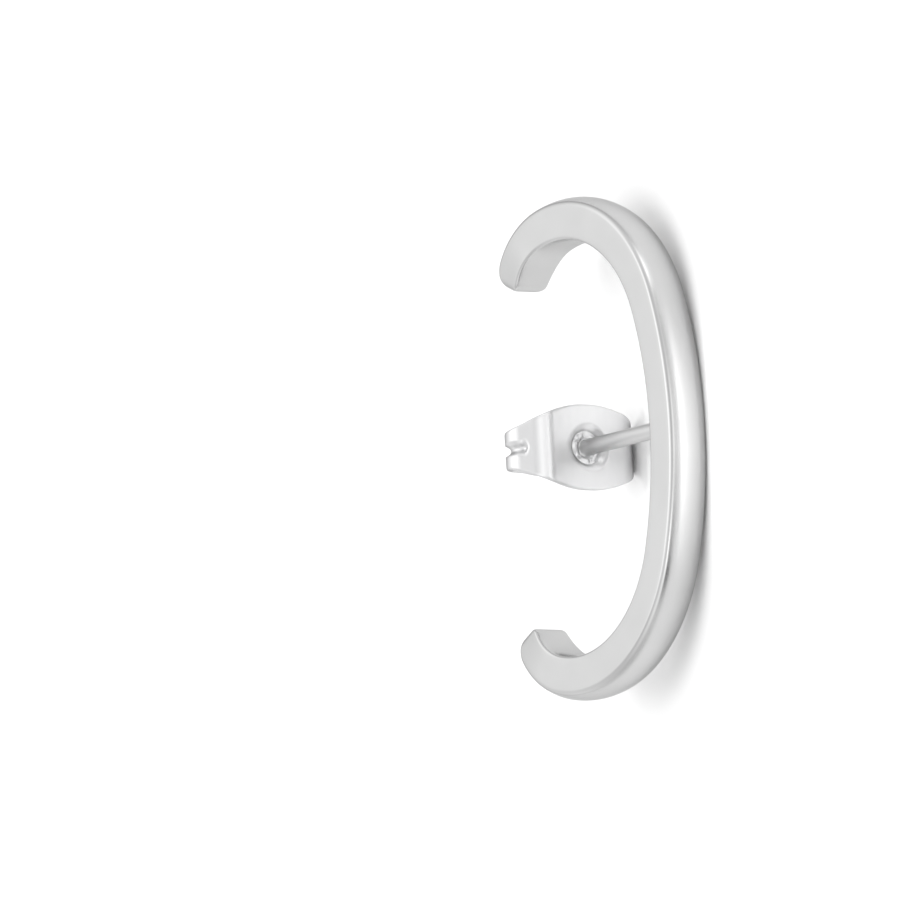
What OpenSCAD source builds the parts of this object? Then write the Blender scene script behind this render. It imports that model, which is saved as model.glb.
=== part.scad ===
// Ear suspender stud: a C-shaped bar with a soldered post, and the butterfly clutch that holds it behind the ear.
// Shown unworn, lying on its side: +X is the end that is the top when worn, -Y is the front, +Z is up.

/* [Curved bar] */
// Width of the bar across its face
bar_w = 2.1; // [1.8:0.1:2.2]
// Thickness of the bar, from the hollow of the C to its outer face
bar_t = 2.1; // [2.1:0.05:2.3]
// Radius of the soft long edges
edge_r = 0.3; // [0.2:0.05:0.35]
// Slope of the domed outer face where it meets the edges
dome_a = 27; // [15:1:29]
// Radius of the long front arc, at the middle of the thickness
front_r = 19; // [17:0.5:22]
// Angle of the front arc on each side of the post
front_a = 18.7; // [16:0.1:21]
// Radius of the turn at each end
side_r = 7.4; // [6.8:0.1:8]
// Angle of the turn at each end
side_a = 84.5; // [82:0.5:88]
// Radius of the hook behind the ear
hook_r = 4.4; // [4:0.05:4.8]
// Angle of the hook
hook_a = 52.2; // [42:0.2:54]
// Rounding of the outer corner of each tip
tip_r = 1; // [0.8:0.05:1]
// Rounding of the inner corner of each tip
tip_in = 0.7; // [0.5:0.05:0.7]
// Rounding of each tip at the sides
tip_side = 0.45; // [0.4:0.05:0.6]
// How far each side of the bar draws in towards the tips
tip_taper = 0.2; // [0:0.05:0.2]
// Length over which it draws in
taper_l = 2.5; // [1.5:0.5:3]

/* [Post] */
// Diameter of the post
post_d = 0.8; // [0.7:0.05:0.9]
// Length of the post from the bar's inner side to its tip
post_len = 10.2; // [10:0.1:10.8]
// Depth of the groove that the clutch snaps into
notch = 0.05; // [0.03:0.01:0.08]

/* [Butterfly clutch] */
// Distance from the bar's inner side to the clutch
ear_gap = 6.5; // [6:0.1:6.8]
// Thickness of the sheet
sheet = 0.3; // [0.25:0.05:0.35]
// Half width of the sheet at the plate's middle
plate_h = 2.08; // [1.9:0.02:2.3]
// Half width of the sheet at the scrolls' ends
wing_h = 0.92; // [0.8:0.01:1.1]
// Half length of the flat plate
plate_l = 1.95; // [1.8:0.05:2]
// Radius of the bend beside the plate, at the middle of the sheet
bend_r = 1; // [0.8:0.05:1.1]
// Angle by which the sheet is bent back beside the plate
crease_a = 57; // [52:1:60]
// Radius of the scrolls, at the middle of the sheet
scroll_r = 1.05; // [0.95:0.05:1.1]
// Play between the post and the clutch
play = 0.03; // [0.03:0.01:0.05]

/* [Hidden] */
$fn = 64;
steel = [0.78, 0.78, 0.79];
satin = [0.85, 0.85, 0.86];

function arc(r, a) = r * a * PI / 180;
function rise(r, a) = r - sqrt(max(r * r - a * a, 0));

// middle line of one half of the bar: x, y and heading at the distance s from the post
s1 = arc(front_r, front_a);
s2 = s1 + arc(side_r, side_a);
s3 = s2 + arc(hook_r, hook_a);
h2 = front_a + side_a;
q1 = [front_r * sin(front_a), front_r * (1 - cos(front_a))];
q2 = q1 + side_r * [sin(h2) - sin(front_a), cos(front_a) - cos(h2)];
function turn(p, r, h, a) = concat(p + r * [sin(h + a) - sin(h), cos(h) - cos(h + a)], [h + a]);
function bar_at(s) =
    s < s1 ? turn([0, 0], front_r, 0, s / s1 * front_a) :
    s < s2 ? turn(q1, side_r, front_a, (s - s1) / (s2 - s1) * side_a) :
    turn(q2, hook_r, h2, (s - s2) / (s3 - s2) * hook_a);

// stations along one half, closer together in the rounding of the tip
tip_k = 6;
half_s = concat(
    [for (i = [1:8]) s1 * i / 8],
    [for (i = [1:20]) s1 + (s2 - s1) * i / 20],
    [for (i = [1:10]) s2 + (s3 - tip_r - s2) * i / 10],
    [for (i = [1:tip_k]) s3 - tip_r * (1 - sin(90 * i / tip_k))]);
n_half = len(half_s);
bar_s = [for (i = [-n_half:n_half]) i == 0 ? 0 : sign(i) * half_s[abs(i) - 1]];

// section of the bar: across z, outwards n, set in by the tip's rounding and taper
function off(r, e) = e >= r ? 0 : rise(r, r - e);
function taper(e) = tip_taper * pow(max(1 - e / taper_l, 0), 2);
function corner(c, r, a, b) = [for (k = [0:4]) c + r * [cos(a + (b - a) * k / 4), sin(a + (b - a) * k / 4)]];
function dome_w(hw, r) = hw - r + r * sin(dome_a);
function dome_drop(hw, r) = dome_w(hw, r) * tan(dome_a) / 2;
function section(e) =
    let (hw = bar_w / 2 - off(tip_side, e) - taper(e),
         no = bar_t / 2 - off(tip_r, e), ni = -bar_t / 2 + off(tip_in, e),
         r = min(edge_r, 0.25 * (no - ni), 0.6 * hw), c = hw - r, w = dome_w(hw, r), drop = dome_drop(hw, r),
         m = no - drop - r * cos(dome_a))
    concat(
        corner([c, m], r, 0, 90 - dome_a),
        [for (k = [-2:2]) [-w * k / 3, no - drop * pow(k / 3, 2)]],
        corner([-c, m], r, 90 + dome_a, 180),
        corner([-c, ni + r], r, 180, 270),
        corner([c, ni + r], r, 270, 360));
function ring(s) =
    let (m = bar_at(abs(s)), g = s < 0 ? -1 : 1, a = m[2])
    [for (p = section(s3 - abs(s))) [g * (m[0] + sin(a) * p[1]), m[1] - cos(a) * p[1], p[0]]];
bar_pts = [for (s = bar_s) each ring(s)];
n_sec = len(section(1));

// triangles over a tube of n_r rings with n_p points each, closed at both ends
function tube(n_r, n_p) = concat(
    [for (i = [0:n_r - 2], j = [0:n_p - 1])
        let (a = i * n_p + j, b = i * n_p + (j + 1) % n_p)
        each [[a, b + n_p, b], [a, a + n_p, b + n_p]]],
    [for (j = [1:n_p - 2]) [0, j, j + 1]],
    [for (j = [1:n_p - 2]) let (a = (n_r - 1) * n_p) [a, a + j + 1, a + j]]);

// middle line of one half of the clutch's sheet: z across, y back, heading
post_r = post_d / 2;
groove_r = post_r + play;
groove_d = 0.2;
end_r = 0.8;
end_a = 120;
lead = 0.62;
scroll_a = 180 - crease_a;
near = groove_r - groove_d + sheet / 2;
c1 = arc(bend_r, crease_a);
w0 = [plate_l, sheet / 2];
w1 = w0 + bend_r * [sin(crease_a), 1 - cos(crease_a)];
w2 = w1 + lead * [cos(crease_a), sin(crease_a)];
w3 = w2 + scroll_r * [-sin(crease_a), cos(crease_a) + 1];
back = w3[0] - end_r - near;
w4 = w3 - [back, 0];
t1 = plate_l + c1;
t2 = t1 + lead;
t3 = t2 + arc(scroll_r, scroll_a);
t4 = t3 + back;
t5 = t4 + arc(end_r, end_a);
function sheet_at(t) =
    t <= plate_l ? [t, w0[1], 0] :
    t <= t1 ? turn(w0, bend_r, 0, (t - plate_l) / c1 * crease_a) :
    t <= t2 ? concat(w1 + (t - t1) * [cos(crease_a), sin(crease_a)], [crease_a]) :
    t <= t3 ? turn(w2, scroll_r, crease_a, (t - t2) / (t3 - t2) * scroll_a) :
    t <= t4 ? [w3[0] - (t - t3), w3[1], 180] :
    turn(w4, end_r, 180, (t - t4) / (t5 - t4) * end_a);
wing_t = concat(
    [for (i = [1:4]) plate_l * i / 4],
    [for (i = [1:6]) plate_l + c1 * i / 6],
    [for (i = [1:5]) t1 + lead * i / 5],
    [for (i = [1:14]) t2 + (t3 - t2) * i / 14],
    [for (i = [1:3]) t3 + back * i / 3],
    [for (i = [1:13]) t4 + (t5 - t4) * i / 13]);
n_wing = len(wing_t);
strip_t = [for (i = [-n_wing:n_wing]) i == 0 ? 0 : sign(i) * wing_t[abs(i) - 1]];

// half width of the sheet and depth of the pressed groove, both along the sheet
function half_w(t) =
    t < 4.75 ? wing_h + (plate_h - wing_h) * (0.5 + 0.5 * cos(180 * pow(t / 4.75, 1.16))) :
    wing_h + 0.12 * (0.5 - 0.5 * cos(180 * min(max((t - t3) / 1.2, 0), 1)));
function groove(t, x) =
    let (start = t1 + 0.35 * lead, k = min(max((t - start) / 0.3, 0), 1), wide = groove_r * sqrt(k))
    k <= 0 ? 0 : max(sqrt(max(groove_r * groove_r - x * x, 0)) - (groove_r - groove_d * sqrt(k)), 0);
cross = [-1, -0.36, -0.3, -0.22, -0.12, 0, 0.12, 0.22, 0.3, 0.36, 1];
function strip_ring(t) =
    let (m = sheet_at(abs(t)), g = t < 0 ? -1 : 1, a = m[2], h = half_w(abs(t)), n = [sin(a), -cos(a)],
         xs = [for (c = cross) abs(c) == 1 ? c * h : c * groove_r / 0.43])
    concat(
        [for (x = xs) let (d = sheet / 2 - groove(abs(t), x)) [x, m[1] + n[1] * d, g * (m[0] + n[0] * d)]],
        [for (i = [len(xs) - 1:-1:0]) let (x = xs[i], d = -sheet / 2 - groove(abs(t), x))
            [x, m[1] + n[1] * d, g * (m[0] + n[0] * d)]]);
strip_pts = [for (t = strip_t) each strip_ring(t)];
n_cross = 2 * len(cross);

// how far the earring leans over, lying on the bar's front edge and on the clutch's scroll
plate_y = bar_t / 2 + ear_gap;
edge_y = -(bar_t / 2 - dome_drop(bar_w / 2, edge_r) - edge_r * cos(dome_a));
edge_z = -(bar_w / 2 - edge_r);
roll_y = plate_y + w2[1] + scroll_r * cos(crease_a);
roll_z = -(w2[0] - scroll_r * sin(crease_a));
lean_d = sqrt(pow(roll_y - edge_y, 2) + pow(roll_z - edge_z, 2));
lean = asin((scroll_r + sheet / 2 - edge_r) / lean_d) - atan2(roll_z - edge_z, roll_y - edge_y);
floor_z = edge_y * sin(lean) + edge_z * cos(lean) - edge_r;
reach = [for (p = bar_pts) p[1] * cos(lean) - p[2] * sin(lean)];
mid_y = (min(reach) + max(reach)) / 2;

module lay_down() {
    translate([0, -mid_y, -floor_z]) rotate([lean, 0, 0]) children();
}

// a solid of revolution about the post's axis, from [radius, distance from the bar's middle line] points
module turned(points) {
    rotate([-90, 0, 0]) rotate_extrude() polygon(points);
}

plain_y = plate_y - 0.15;
tip_y = bar_t / 2 + post_len;
slim_r = post_r - 0.015;
grip_y = plate_y + w4[1] - end_r;

module curved_bar() {
    color(steel) lay_down() {
        polyhedron(points = bar_pts, faces = tube(len(bar_s), n_sec), convexity = 6);
        turned([
            [0, 0], [post_r, 0], [post_r, plain_y], [slim_r, grip_y - 0.45], [slim_r - notch, grip_y - 0.3],
            [slim_r - notch, grip_y + 0.15], [slim_r, grip_y + 0.3], [slim_r, tip_y - 0.3],
            [slim_r - 0.05, tip_y - 0.12], [slim_r - 0.16, tip_y - 0.02], [0, tip_y]]);
    }
}

bore = post_r + play;
crater = 1.35;
module funnel() {
    turned([
        [crater + 0.1, 0.08], [crater - 0.1, 0.1], [1.05, 0.2], [0.89, 0.42], [0.81, 0.42], [0.75, 0.24],
        [0.67, 0.15], [0.57, 0.18], [0.49, 0.32], [bore, 0.48], [bore, 0.74], [0.62, 0.78], [0.94, 0.72],
        [1.16, 0.5], [crater + 0.1, 0.22]]);
}

module butterfly_clutch() {
    color(satin) lay_down() translate([0, plate_y, 0]) {
        difference() {
            polyhedron(points = strip_pts, faces = tube(len(strip_t), n_cross), convexity = 8);
            rotate([-90, 0, 0]) cylinder(r = crater, h = 1, center = true);
        }
        funnel();
    }
}

curved_bar();
butterfly_clutch();
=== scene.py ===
import math

import bpy
import numpy as np
from mathutils import Matrix, Vector


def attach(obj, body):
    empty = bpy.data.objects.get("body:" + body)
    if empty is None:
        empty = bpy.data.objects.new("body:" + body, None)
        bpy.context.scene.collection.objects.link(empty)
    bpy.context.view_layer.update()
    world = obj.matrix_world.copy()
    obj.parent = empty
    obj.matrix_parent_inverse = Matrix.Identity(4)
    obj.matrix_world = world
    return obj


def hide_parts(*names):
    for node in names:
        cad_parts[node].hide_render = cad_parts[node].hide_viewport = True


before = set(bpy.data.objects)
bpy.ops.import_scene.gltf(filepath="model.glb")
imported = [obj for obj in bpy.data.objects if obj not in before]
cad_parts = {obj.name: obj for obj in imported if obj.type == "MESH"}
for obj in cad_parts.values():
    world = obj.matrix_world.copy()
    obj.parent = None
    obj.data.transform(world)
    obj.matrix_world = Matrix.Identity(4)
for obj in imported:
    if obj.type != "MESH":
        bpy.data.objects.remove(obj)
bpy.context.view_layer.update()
MM = 0.001
SCENE = bpy.context.scene

# ---------------------------------------------------------------- the same named sizes as the source, in millimetres
# bar's section: width, thickness, rounding of its outer and inner edges (the source's inner edges are as round as its
# outer ones), and the slope of its domed face at the sides
BAR_W, BAR_T, EDGE_R, INNER_R, DOME_A = 2.1, 2.1, 0.3, 0.15, 27.0
# half the bar's line: radius and angle of its front, of its side and of its hooked end
FRONT_R, FRONT_A, SIDE_R, SIDE_A, HOOK_R, HOOK_A = 19.0, 18.7, 7.4, 84.5, 4.4, 52.2
# bar's tips: rounding outside, inside and at the sides, how far the sides draw in, and over which length
TIP_R, TIP_IN, TIP_SIDE, TIP_TAPER, TAPER_L = 1.0, 0.7, 0.45, 0.2, 2.5
# post: radius, length behind the bar, depth of its friction notch
POST_R, POST_LEN, NOTCH = 0.4, 10.2, 0.05
# clutch: gap for the ear, thickness of the sheet, half widths of the plate and of a wing, half length of the plate
EAR_GAP, SHEET, PLATE_H, WING_H, PLATE_L = 6.5, 0.3, 2.08, 0.92, 1.95
# a wing: the bend's radius and angle, the straight lead, the scroll's radius, the radius and angle of its curled end
BEND_R, CREASE_A, LEAD, SCROLL_R, END_R, END_A = 1.0, 57.0, 0.62, 1.05, 0.8, 120.0
# play round the post, the groove's radius and depth, radius of the dished part round the hole
PLAY = 0.03
GROOVE_R, GROOVE_D, CRATER = POST_R + PLAY, 0.2, 1.35
PLATE_Y = BAR_T / 2 + EAR_GAP


def rad(a):
    return math.radians(a)


def turn(p, r, h, a):
    """Where an arc of radius r ends that starts at p with the heading h and turns by a; its heading comes third."""
    return (p[0] + r * (math.sin(rad(h + a)) - math.sin(rad(h))),
            p[1] + r * (math.cos(rad(h)) - math.cos(rad(h + a))),
            h + a)


def soft_step(x):
    x = min(max(x, 0.0), 1.0)
    return x * x * (3 - 2 * x)


def set_in(r, e):
    """How far a side lies in at the distance e from an end that is rounded by r."""
    return 0.0 if e >= r else r - math.sqrt(max(r * r - (r - e) ** 2, 0))


# ---------------------------------------------------------------- middle line of the clutch's sheet, for one wing
# W0 to W4 (across, back) are where the plate, the bend, the lead, the scroll and the straight behind it end; NEAR is
# how close the sheet's middle comes to the post's, BACK the length of that straight
W0 = (PLATE_L, SHEET / 2)
W1 = turn(W0, BEND_R, 0, CREASE_A)
W2 = (W1[0] + LEAD * math.cos(rad(CREASE_A)), W1[1] + LEAD * math.sin(rad(CREASE_A)))
W3 = (W2[0] - SCROLL_R * math.sin(rad(CREASE_A)), W2[1] + SCROLL_R * (math.cos(rad(CREASE_A)) + 1))
NEAR = GROOVE_R - GROOVE_D + SHEET / 2
BACK = W3[0] - END_R - NEAR
W4 = (W3[0] - BACK, W3[1])
# T1 to T5 are the lengths along the sheet to the ends of the bend, the lead, the scroll, the straight and the curl
T1 = PLATE_L + BEND_R * rad(CREASE_A)
T2 = T1 + LEAD
T3 = T2 + SCROLL_R * rad(180 - CREASE_A)
T4 = T3 + BACK
T5 = T4 + END_R * rad(END_A)


def sheet_at(t):
    """Point (across, back) and heading of the middle line, at t along it."""
    if t <= PLATE_L:
        return (t, W0[1], 0.0)
    if t <= T1:
        return turn(W0, BEND_R, 0, (t - PLATE_L) / (T1 - PLATE_L) * CREASE_A)
    if t <= T2:
        k = (t - T1) / (T2 - T1)
        return (W1[0] + (W2[0] - W1[0]) * k, W1[1] + (W2[1] - W1[1]) * k, CREASE_A)
    if t <= T3:
        return turn(W2, SCROLL_R, CREASE_A, (t - T2) / (T3 - T2) * (180 - CREASE_A))
    if t <= T4:
        return (W3[0] - (t - T3), W3[1], 180.0)
    return turn(W4, END_R, 180, (t - T4) / (T5 - T4) * END_A)


# ---------------------------------------------------------------- how the earring lies: on the bar's edge and a scroll
def dome_w(hw, r):
    """Half width of the domed face of a section with the half width hw and edges rounded by r."""
    return hw - r + r * math.sin(rad(DOME_A))


def dome_drop(hw, r):
    """How far that face falls from its middle to its sides."""
    return dome_w(hw, r) * math.tan(rad(DOME_A)) / 2


# (back, across) of the middles of the two roundings that touch the floor: the bar's edge and the lower scroll
EDGE_Y = -(BAR_T / 2 - dome_drop(BAR_W / 2, EDGE_R) - EDGE_R * math.cos(rad(DOME_A)))
EDGE_Z = -(BAR_W / 2 - EDGE_R)
CURL_Y = PLATE_Y + W2[1] + SCROLL_R * math.cos(rad(CREASE_A))
CURL_Z = -(W2[0] - SCROLL_R * math.sin(rad(CREASE_A)))
APART = math.hypot(CURL_Y - EDGE_Y, CURL_Z - EDGE_Z)
LEAN = math.asin((SCROLL_R + SHEET / 2 - EDGE_R) / APART) - math.atan2(CURL_Z - EDGE_Z, CURL_Y - EDGE_Y)
COS_LEAN, SIN_LEAN = math.cos(LEAN), math.sin(LEAN)
FLOOR_Z = EDGE_Y * SIN_LEAN + EDGE_Z * COS_LEAN - EDGE_R
MID_Y = 5.92299  # middle of the solids' footprint


def put(P):
    """Points in the earring's own axes (along the bar, back, across), in mm, to the row frame in metres."""
    P = np.asarray(P, float)
    x, y, z = P[..., 0], P[..., 1], P[..., 2]
    return np.stack([x, y * COS_LEAN - z * SIN_LEAN - MID_Y, y * SIN_LEAN + z * COS_LEAN - FLOOR_Z], -1) * MM


def swing(v):
    """A direction in the earring's own axes to the row frame."""
    return Vector((v[0], v[1] * COS_LEAN - v[2] * SIN_LEAN, v[1] * SIN_LEAN + v[2] * COS_LEAN))


def worn(v):
    """A direction given as worn (right, back, up) to the row frame."""
    return swing((v[2], v[1], -v[0]))


def add(name, data):
    """An object in the scene."""
    o = bpy.data.objects.new(name, data)
    SCENE.collection.objects.link(o)
    return o


# ---------------------------------------------------------------- camera, at the photograph's angle to the earring
AZ, EL, ROLL, DIST = rad(35.3), rad(-7.8), rad(-3.3), 600.0  # as worn, with the distance in mm
TARGET = (0, 5, 0)                               # the point that it stands off from, in the earring's own axes
PICTURE, TARGET_X, TARGET_Y = 900, 619.0, 439.4  # the picture's side and that point's place in it, in pixels
SCALE = 20.88                                    # pixels to the mm at that point
SENSOR = 36


def make_camera():
    back = Vector((-math.sin(AZ) * math.cos(EL), -math.cos(AZ) * math.cos(EL), math.sin(EL)))
    side = (-back).cross(Vector((0, 0, 1))).normalized()
    upward = side.cross(-back)
    right = math.cos(ROLL) * side + math.sin(ROLL) * upward
    up = -math.sin(ROLL) * side + math.cos(ROLL) * upward
    focal = SCALE * DIST
    aim = (-back * focal - right * (TARGET_X - PICTURE / 2) - up * (PICTURE / 2 - TARGET_Y)).normalized()
    cam_right = (right - aim * right.dot(aim)).normalized()
    cam_up = cam_right.cross(aim)
    cam = add("camera", bpy.data.cameras.new("camera"))
    cam.data.sensor_width = SENSOR
    cam.data.lens = focal / PICTURE * SENSOR
    cam.data.clip_start, cam.data.clip_end = 0.01, 5
    axes = [worn(v) for v in (cam_right, cam_up, -aim)]
    turned = Matrix([[axes[c][r] for c in range(3)] for r in range(3)])
    place = Vector(put(TARGET)) + worn(back) * DIST * MM
    cam.matrix_world = Matrix.Translation(place) @ turned.to_4x4()
    SCENE.camera = cam


make_camera()


# ---------------------------------------------------------------- mesh helpers
def make(name, V, F, smooth=True):
    me = bpy.data.meshes.new(name)
    me.from_pydata([tuple(p) for p in V], [], [tuple(f) for f in F])
    me.update()
    if smooth:
        me.polygons.foreach_set("use_smooth", [True] * len(me.polygons))
    return add(name, me)


def grid_faces(rows, n):
    """Faces between rows of n points each; every row is a closed ring."""
    F = []
    for i in range(rows - 1):
        for j in range(n):
            a, b = i * n + j, i * n + (j + 1) % n
            F.append((a, b, b + n, a + n))
    return F


# ---------------------------------------------------------------- curved bar
# S1 to S3 are the lengths along half the bar to the ends of its front, its side and its hook; the front ends at Q1
# and the side at Q2
S1 = FRONT_R * rad(FRONT_A)
S2 = S1 + SIDE_R * rad(SIDE_A)
S3 = S2 + HOOK_R * rad(HOOK_A)
Q1 = turn((0, 0), FRONT_R, 0, FRONT_A)
Q2 = turn(Q1, SIDE_R, FRONT_A, SIDE_A)
MAX_THICK, MAX_HALF = 0.25, 0.6  # an edge is rounded by these shares of the thickness and the half width at most
CORNER_STEPS, DOME_STEPS, SIDE_STEPS, INNER_STEPS = 12, 14, 6, 8
BAR_ROWS, TIP_ROWS = 170, 16  # rows along half the bar up to its rounded tip, and round the tip


def bar_at(s):
    """Point (along, back) and heading of the bar's middle line, at s from its middle."""
    if s < S1:
        return turn((0, 0), FRONT_R, 0, s / S1 * FRONT_A)
    if s < S2:
        return turn(Q1, SIDE_R, FRONT_A, (s - S1) / (S2 - S1) * SIDE_A)
    return turn(Q2, HOOK_R, Q2[2], (s - S2) / (S3 - S2) * HOOK_A)


def corner(u, v, r, a, b):
    """Points of an arc round (u, v), from the angle a to b."""
    angles = [rad(a + (b - a) * k / CORNER_STEPS) for k in range(CORNER_STEPS + 1)]
    return [(u + r * math.cos(t), v + r * math.sin(t)) for t in angles]


def section(e):
    """Outline of the bar's section at the distance e from a tip: across, outwards."""
    hw = BAR_W / 2 - set_in(TIP_SIDE, e) - TIP_TAPER * max(1 - e / TAPER_L, 0) ** 2
    no, ni = BAR_T / 2 - set_in(TIP_R, e), -BAR_T / 2 + set_in(TIP_IN, e)
    r, ri = min(EDGE_R, MAX_THICK * (no - ni), MAX_HALF * hw), min(INNER_R, MAX_THICK * (no - ni), MAX_HALF * hw)
    w, drop = dome_w(hw, r), dome_drop(hw, r)
    c, m = hw - r, no - drop - r * math.cos(rad(DOME_A))
    ci, mi = hw - ri, ni + ri
    P = corner(c, m, r, 0, 90 - DOME_A)
    P += [(-w * k / DOME_STEPS, no - drop * (k / DOME_STEPS) ** 2) for k in range(1 - DOME_STEPS, DOME_STEPS)]
    P += corner(-c, m, r, 90 + DOME_A, 180)
    P += [(-hw, m + (mi - m) * k / SIDE_STEPS) for k in range(1, SIDE_STEPS)]
    P += corner(-ci, mi, ri, 180, 270)
    P += [(-ci + 2 * ci * k / INNER_STEPS, ni) for k in range(1, INNER_STEPS)]
    P += corner(ci, mi, ri, 270, 360)
    P += [(hw, mi + (m - mi) * k / SIDE_STEPS) for k in range(1, SIDE_STEPS)]
    return np.array(P)


def bar_mesh():
    half = list(np.linspace(0, S3 - TIP_R, BAR_ROWS)[1:])
    half += [S3 - TIP_R * (1 - math.sin(rad(90 * i / TIP_ROWS))) for i in range(1, TIP_ROWS + 1)]
    rings = []
    for s in [-s for s in reversed(half)] + [0.0] + half:
        x, y, a = bar_at(abs(s))
        g = -1 if s < 0 else 1
        p = section(S3 - abs(s))
        rings.append(np.stack([g * (x + math.sin(rad(a)) * p[:, 1]), y - math.cos(rad(a)) * p[:, 1], p[:, 0]], -1))
    n = len(rings[0])
    V = np.concatenate(rings)
    F = grid_faces(len(rings), n)
    # each end is closed by a smaller ring and a fan
    for end, order in ((0, 1), (len(rings) - 1, -1)):
        ring = rings[end]
        mid = ring.mean(0)
        base = len(V)
        V = np.concatenate([V, mid + (ring - mid) * 0.5, [mid]])
        for j in range(n):
            a, b, c, d = end * n + j, end * n + (j + 1) % n, base + (j + 1) % n, base + j
            F += [(a, b, c, d)[::-order], (d, c, base + n)[::-order]]
    return V, F


V, F = bar_mesh()
bar = make("bar", put(V), F)

# ---------------------------------------------------------------- post, soldered to the bar's inner side
FOOT_R, FOOT_IN, FOOT_STEPS = 0.12, 0.03, 8     # fillet at its foot, and how deep in the bar that starts
SLIM_BY, SLIM_FROM = 0.015, 0.15                # it is slimmer from just in front of the clutch
NOTCH_FROM, NOTCH_TO, RAMP, RAMP_STEPS = 0.45, 0.15, 0.15, 6  # notch: its ends round the grip, its sloping sides
NOSE_L, NOSE_POWER, NOSE_FLAT, NOSE_STEPS = 0.3, 0.75, 0.004, 10
POST_SIDES = 72


def post_profile():
    """Radius and place along the post, from its foot to its rounded tip."""
    slim = POST_R - SLIM_BY
    grip = PLATE_Y + W4[1] - END_R
    nose = BAR_T / 2 + POST_LEN - NOSE_L
    P = []
    for k in range(FOOT_STEPS + 1):
        a = rad(90 * k / FOOT_STEPS)
        P.append((POST_R + FOOT_R * (1 - math.sin(a)), BAR_T / 2 - FOOT_IN + FOOT_R * (1 - math.cos(a))))
    P += [(POST_R, PLATE_Y - SLIM_FROM), (slim, grip - NOTCH_FROM)]
    for k in range(1, RAMP_STEPS + 1):
        wave = 0.5 * math.cos(rad(180 * k / RAMP_STEPS))
        P.append((slim - NOTCH * (0.5 - wave), grip - NOTCH_FROM + RAMP * k / RAMP_STEPS))
    for k in range(RAMP_STEPS + 1):
        wave = 0.5 * math.cos(rad(180 * k / RAMP_STEPS))
        P.append((slim - NOTCH * (0.5 + wave), grip + NOTCH_TO + RAMP * k / RAMP_STEPS))
    P.append((slim, nose))
    for k in range(1, NOSE_STEPS + 1):
        a = rad(90 * k / NOSE_STEPS)
        P.append((slim * math.cos(a) ** NOSE_POWER if k < NOSE_STEPS else NOSE_FLAT, nose + NOSE_L * math.sin(a)))
    return P


def post_mesh():
    P = post_profile()
    around = [2 * math.pi * j / POST_SIDES for j in range(POST_SIDES)]
    V = [(r * math.cos(a), y, r * math.sin(a)) for r, y in P for a in around]
    F = [f[::-1] for f in grid_faces(len(P), POST_SIDES)]
    F.append(tuple(range((len(P) - 1) * POST_SIDES, len(P) * POST_SIDES))[::-1])
    return V, F


V, F = post_mesh()
post = make("post", put(V), F)

# ---------------------------------------------------------------- butterfly clutch
BULGE_L, BULGE_POWER = 4.75, 1.16               # the plate's bulge ends here along the sheet; how full it is
FLARE, FLARE_L = 0.12, 1.2                      # the sheet is a little wider again past the scroll
GROOVE_FROM, NOSE, NOSE_IN = 0.3 * LEAD, 0.36, 0.03  # where the groove starts on the lead, and its rounded start
DEEPER, DEEPER_L = 0.4, 0.8                     # it is deeper on the scroll's outside, and that fades out
TO_POST, TO_POST_L = 0.2, 0.7                   # over this stretch it turns into the groove that fits the post
RIM_W, RIM_THICK = 0.13, 0.35                   # rounded edge: its width, and the share of the thickness left there
CORNER_R = 0.25                                 # corners of the sheet's ends
DISH_R, DISH_W, DISH_D, DISH_SKEW = 1.25, 0.43, 0.19, 0.07  # the dish is deeper towards the lower wing
COLLAR_R, CREST, FLAP = 0.82, 0.10, 0.85        # the collar's foot and height, and how far a tear cuts into it
TEARS, TEAR_W = [rad(a) for a in (28, 84, 165, 250, 318)], 0.17
TORN, TORN_R, TORN_W = 0.28, 0.6, 0.45          # share of the thickness at the hole, and where that grows again
HOLE_R, FINE_R, FINE_SHARE = GROOVE_R + 0.055, CRATER + 0.1, 0.72  # most of the rows are within the dished part
ACROSS, ALONG, RAY_ROWS = 44, 70, 72            # steps across the sheet, along the plate and out from the hole
WING_ROWS = ((PLATE_L, T2, 40), (T2, T4, 80), (T4, T5, 60))


def half_w(t):
    """Half of the sheet's width at t along it."""
    if t < BULGE_L:
        return WING_H + (PLATE_H - WING_H) * (0.5 + 0.5 * math.cos(math.pi * (t / BULGE_L) ** BULGE_POWER))
    return WING_H + FLARE * (0.5 - 0.5 * math.cos(math.pi * min(max((t - T3) / FLARE_L, 0), 1)))


def groove(t, x):
    """How deep the sheet's middle is pressed in at t along it and x across it: a rounded groove round the scroll's
    outside, and near the sheet's end one that fits round the post."""
    k = min(max((t - T1 - GROOVE_FROM) / NOSE, 0), 1)
    if k <= 0:
        return 0.0
    if k < 1:
        wide = (GROOVE_R - NOSE_IN) * math.sqrt(1 - (1 - k) ** 2)
        outside = GROOVE_D * math.sqrt(k) * max(1 - (x / wide) ** 2, 0)
    else:
        outside = max(math.sqrt(max(GROOVE_R ** 2 - x * x, 0)) - (GROOVE_R - GROOVE_D), 0)
    outside *= 1 + DEEPER * soft_step((T3 - t) / DEEPER_L)
    at_post = max(math.sqrt(max((GROOVE_R + SHEET / 2) ** 2 - x * x, 0)) - NEAR, 0)
    w = soft_step((t - T3 + TO_POST) / TO_POST_L)
    return outside * (1 - w) + at_post * w


def rim(d):
    """Share of the sheet's thickness at the distance d from its outline."""
    k = min(max(d / RIM_W, 0.0), 1.0)
    return RIM_THICK + (1 - RIM_THICK) * math.sqrt(1 - (1 - k) ** 2)


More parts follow.
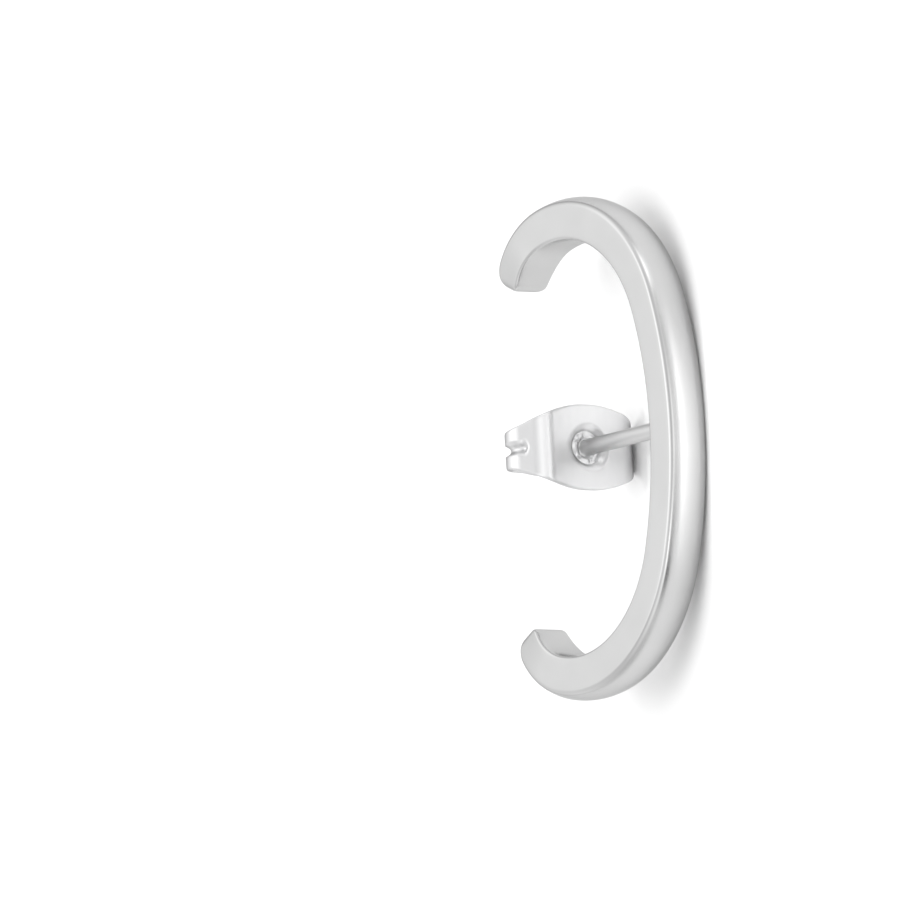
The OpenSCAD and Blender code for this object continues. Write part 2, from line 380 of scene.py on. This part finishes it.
def crater(r, a):
    """How far the middle of the sheet lies behind the plate's middle, round the hole: a dish, and in it the torn
    collar. The angle a is measured from the upper wing."""
    r /= 1 + 0.03 * math.sin(2 * a + 0.6) + 0.025 * math.sin(3 * a + 2.0)  # not quite round
    if r >= CRATER:
        return 0.0
    dish = (DISH_D - DISH_SKEW * math.cos(a)) * soft_step((DISH_R - r) / DISH_W)
    tear = max(math.exp(-(math.remainder(a - g, 2 * math.pi) / TEAR_W) ** 2) for g in TEARS)
    crest = (CREST + 0.035 * math.sin(2 * a + 1.0) + 0.025 * math.sin(3 * a)) * (1 - FLAP * tear)
    # the collar rises over half of its width, and falls again towards the hole
    k = (COLLAR_R - r) / (COLLAR_R - GROOVE_R)
    return dish - crest * soft_step(k / 0.5) * (1 - 0.8 * soft_step((k - 0.5) / 0.5))


def surface(t, x):
    """Point of the sheet's middle at t along it, with a minus for the lower wing, and x across it."""
    z, y, a = sheet_at(abs(t))
    g = -1 if t < 0 else 1
    d = -groove(abs(t), x)
    return (x, y - math.cos(rad(a)) * d, g * (z + math.sin(rad(a)) * d))


def plate_outline(us):
    """Points (along, across) once round the plate; us are the steps across it."""
    h = half_w(PLATE_L)
    ts = np.linspace(PLATE_L, -PLATE_L, ALONG + 1)
    loop = [(PLATE_L, u * h) for u in us[:-1]]
    loop += [(t, half_w(abs(t))) for t in ts[:-1]]
    loop += [(-PLATE_L, u * h) for u in us[::-1][:-1]]
    loop += [(t, -half_w(abs(t))) for t in ts[::-1][:-1]]
    return loop


def clutch_mesh():
    """Middle surface of the sheet, and how thick it is at each vertex as a share of the full thickness."""
    us = np.linspace(-1, 1, ACROSS + 1)
    us = 1.5 * us - 0.5 * us ** 3  # closer together at the long edges
    V, W = [], []
    # plate: rays from the hole's edge to the outline
    loop = plate_outline(us)
    n = len(loop)
    for i in range(RAY_ROWS + 1):
        k = i / RAY_ROWS
        for t, x in loop:
            far, a = math.hypot(t, x), math.atan2(x, t)
            if k < FINE_SHARE:
                r = min(HOLE_R + (FINE_R - HOLE_R) * k / FINE_SHARE, far)
            else:
                r = min(FINE_R + (far - FINE_R) * (k - FINE_SHARE) / (1 - FINE_SHARE), far)
            V.append((r * math.sin(a), SHEET / 2 + crater(r, a), r * math.cos(a)))
            edge = half_w(abs(r * math.cos(a))) - abs(r * math.sin(a))
            W.append((TORN + (1 - TORN) * soft_step((r - TORN_R) / TORN_W)) * rim(edge))
    F = [f[::-1] for f in grid_faces(RAY_ROWS + 1, n)]
    # wings: rows across the sheet, the first one shared with the plate's end
    outline = RAY_ROWS * n
    for g in (1, -1):
        if g > 0:
            row = [outline + j for j in range(ACROSS + 1)]
        else:
            row = [outline + 2 * ACROSS + ALONG - j for j in range(ACROSS + 1)]
        for t in [t for start, stop, count in WING_ROWS for t in np.linspace(start, stop, count)[1:]]:
            before, row = row, []
            h = half_w(t) - set_in(CORNER_R, T5 - t)
            for u in us:
                row.append(len(V))
                V.append(surface(g * t, u * h))
                W.append(rim(min(h * (1 - abs(u)), T5 - t)))
            for j in range(ACROSS):
                q = (before[j], before[j + 1], row[j + 1], row[j])
                F.append(q if g < 0 else q[::-1])
    return np.array(V), W, F


V, W, F = clutch_mesh()
clutch = make("clutch_sheet", put(V + np.array([0, PLATE_Y, 0])), F)
group = clutch.vertex_groups.new(name="thick")
for i, w in enumerate(W):
    group.add([i], w, "REPLACE")
solid = clutch.modifiers.new("sheet", "SOLIDIFY")
solid.thickness, solid.offset, solid.use_even_offset = SHEET * MM, 0, True
solid.vertex_group, solid.use_quality_normals = "thick", True

# ---------------------------------------------------------------- materials
NOISE_LOW, NOISE_HIGH = 0.3, 0.7  # where a noise texture's usual values lie


def metal(name, tone, edge, rough, stretch, clouds, specks, bump):
    """A metal with faint clouds in its tone (how much darker, scale) and specks in its polish (scale); edge is the
    tint of what it mirrors at a grazing angle, rough the range of its roughness, bump (strength, distance)."""
    m = bpy.data.materials.new(name)
    m.use_nodes = True
    tree = m.node_tree
    tree.nodes.clear()
    new, link = tree.nodes.new, tree.links.new
    output = new("ShaderNodeOutputMaterial")
    shader = new("ShaderNodeBsdfPrincipled")
    shader.inputs["Metallic"].default_value = 1.0
    shader.inputs["Specular Tint"].default_value = (edge, edge, edge, 1)
    link(shader.outputs["BSDF"], output.inputs["Surface"])
    place = new("ShaderNodeTexCoord")
    stretched = new("ShaderNodeMapping")
    stretched.inputs["Scale"].default_value = stretch
    link(place.outputs["Object"], stretched.inputs["Vector"])

    def noise(scale, detail):
        n = new("ShaderNodeTexNoise")
        n.inputs["Scale"].default_value, n.inputs["Detail"].default_value = scale, detail
        link(stretched.outputs["Vector"], n.inputs["Vector"])
        return n.outputs["Fac"]

    darker, cloud_scale = clouds
    ramp = new("ShaderNodeValToRGB")
    low, high = ramp.color_ramp.elements
    low.position, high.position = NOISE_LOW, NOISE_HIGH
    low.color, high.color = (*[c - darker for c in tone], 1), (*tone, 1)
    link(noise(cloud_scale, 3), ramp.inputs["Fac"])
    link(ramp.outputs["Color"], shader.inputs["Base Color"])
    fine = noise(specks, 4)
    spread = new("ShaderNodeMapRange")
    spread.inputs["From Min"].default_value, spread.inputs["From Max"].default_value = NOISE_LOW, NOISE_HIGH
    spread.inputs["To Min"].default_value, spread.inputs["To Max"].default_value = rough
    link(fine, spread.inputs["Value"])
    link(spread.outputs["Result"], shader.inputs["Roughness"])
    relief = new("ShaderNodeBump")
    relief.inputs["Strength"].default_value, relief.inputs["Distance"].default_value = bump
    link(fine, relief.inputs["Height"])
    link(relief.outputs["Normal"], shader.inputs["Normal"])
    return m


polished = metal("polished_metal", tone=(0.58, 0.58, 0.58), edge=0.65, rough=(0.17, 0.23), stretch=(1, 1, 1),
                 clouds=(0.02, 600), specks=9000, bump=(0.06, 0.000004))
satin = metal("satin_metal", tone=(0.765, 0.765, 0.77), edge=0.4, rough=(0.31, 0.37), stretch=(1, 1, 3),
              clouds=(0.02, 900), specks=9000, bump=(0.06, 0.000004))
plain = metal("post_metal", tone=(0.66, 0.66, 0.66), edge=0.6, rough=(0.28, 0.34), stretch=(6, 1, 6),
              clouds=(0.03, 300), specks=6000, bump=(0.05, 0.000004))
for piece, material, body, slot, node in (
        (bar, polished, "earring", "polished_metal", "curved_bar"),
        (post, plain, "earring", "polished_metal", None),
        (clutch, satin, "clutch", "satin_metal", "butterfly_clutch")):
    piece.data.materials.append(material)
    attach(piece, body)
    if node:
        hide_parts(node)

# ---------------------------------------------------------------- floor
HALF_FLOOR = 0.6
corners = [(x * HALF_FLOOR, y * HALF_FLOOR, 0) for x, y in ((-1, -1), (1, -1), (1, 1), (-1, 1))]
floor = make("floor", corners, [(0, 1, 2, 3)], smooth=False)
pale = bpy.data.materials.new("floor")
pale.use_nodes = True
pale_shader = pale.node_tree.nodes["Principled BSDF"]
pale_shader.inputs["Base Color"].default_value = (0.95, 0.95, 0.95, 1)
pale_shader.inputs["Roughness"].default_value = 0.9
pale_shader.inputs["Specular IOR Level"].default_value = 0.1
floor.data.materials.append(pale)

# ---------------------------------------------------------------- light: an even tent with soft boxes in its wall
TENT = 0.66
# azimuth from +X towards +Y, elevation, how sharp the edge falls off, strength
BOXES = (
    (330, 24, 7, 0.42),     # wide ones in front, towards either end of the bar
    (216, 36, 7, 0.66),
    (247, 34, 60, 1.3),     # small ones in front
    (276, 18, 25, 0.9),
    (285, 74, 20, 0.12),    # high ones
    (66, 70, 28, 0.9),
    (340, 84, 40, 0.7),
    (30, 48, 14, 0.65),     # one beyond the bar's upper end
    (78, 42, 7, 0.36),      # wide ones behind
    (125, 16, 7, 0.45),
    (233, 4, 35, -0.7),     # a dark one, for the streak beside the bar's edge
    (328, 8, 40, 1.3))      # a small low one, for the bright side of the clutch's dish

world = bpy.data.worlds.new("studio")
SCENE.world = world
world.use_nodes = True
tent = world.node_tree
tent.nodes.clear()
world_output = tent.nodes.new("ShaderNodeOutputWorld")
background = tent.nodes.new("ShaderNodeBackground")
tent.links.new(background.outputs["Background"], world_output.inputs["Surface"])
background.inputs["Strength"].default_value = 1.0
look = tent.nodes.new("ShaderNodeTexCoord")


def math_node(kind, *values):
    n = tent.nodes.new("ShaderNodeMath")
    n.operation = kind
    for socket, v in zip(n.inputs, values):
        if isinstance(v, float):
            socket.default_value = v
        else:
            tent.links.new(v, socket)
    return n.outputs[0]


def softbox(azimuth, elevation, sharp, strength):
    """What a round soft light adds in the direction that is looked at."""
    dot = tent.nodes.new("ShaderNodeVectorMath")
    dot.operation = "DOT_PRODUCT"
    az, el = rad(azimuth), rad(elevation)
    dot.inputs[1].default_value = (math.cos(az) * math.cos(el), math.sin(az) * math.cos(el), math.sin(el))
    tent.links.new(look.outputs["Generated"], dot.inputs[0])
    fall = math_node("MULTIPLY_ADD", dot.outputs["Value"], float(sharp), -float(sharp))
    return math_node("MULTIPLY", math_node("EXPONENT", fall), float(strength))


light = TENT
for box in BOXES:
    light = math_node("ADD", softbox(*box), light)
tent.links.new(light, background.inputs["Color"])


# ---------------------------------------------------------------- lamps, none of them mirrored by the metal
POOL_FAR = 400  # mm


def pool(name, toward, cone, stretch, power, aim_at):
    """A soft spot that brightens the floor round aim_at (mm) only; the metal mirrors that floor."""
    d = bpy.data.lights.new(name, "SPOT")
    d.spot_size, d.spot_blend, d.shadow_soft_size, d.energy = rad(cone), 1.0, 0.003, power
    o = add(name, d)
    v = Vector(toward).normalized()
    o.location = (Vector(aim_at) + v * POOL_FAR) * MM
    o.rotation_mode = "QUATERNION"
    o.rotation_quaternion = (-v).to_track_quat("-Z", "Y")
    o.scale = (stretch, 1.0, 1.0)
    o.visible_glossy = False


pool("front_pool", toward=(-0.1, -0.4, 0.9), cone=1.5, stretch=2.1, power=8.0, aim_at=(0.3, -13.0, 0.0))
pool("inner_pool", toward=(0.0, -0.1, 1.0), cone=1.4, stretch=1.7, power=2.5, aim_at=(0.0, -3.0, 0.0))
lamp = bpy.data.lights.new("overhead", "AREA")
lamp.shape, lamp.size, lamp.energy = "DISK", 0.3, 0.26
overhead = add("overhead", lamp)
overhead.location = (0, 0, 0.4)
overhead.visible_glossy = False

SCENE.view_settings.view_transform = "Standard"
SCENE.view_settings.look = "None"
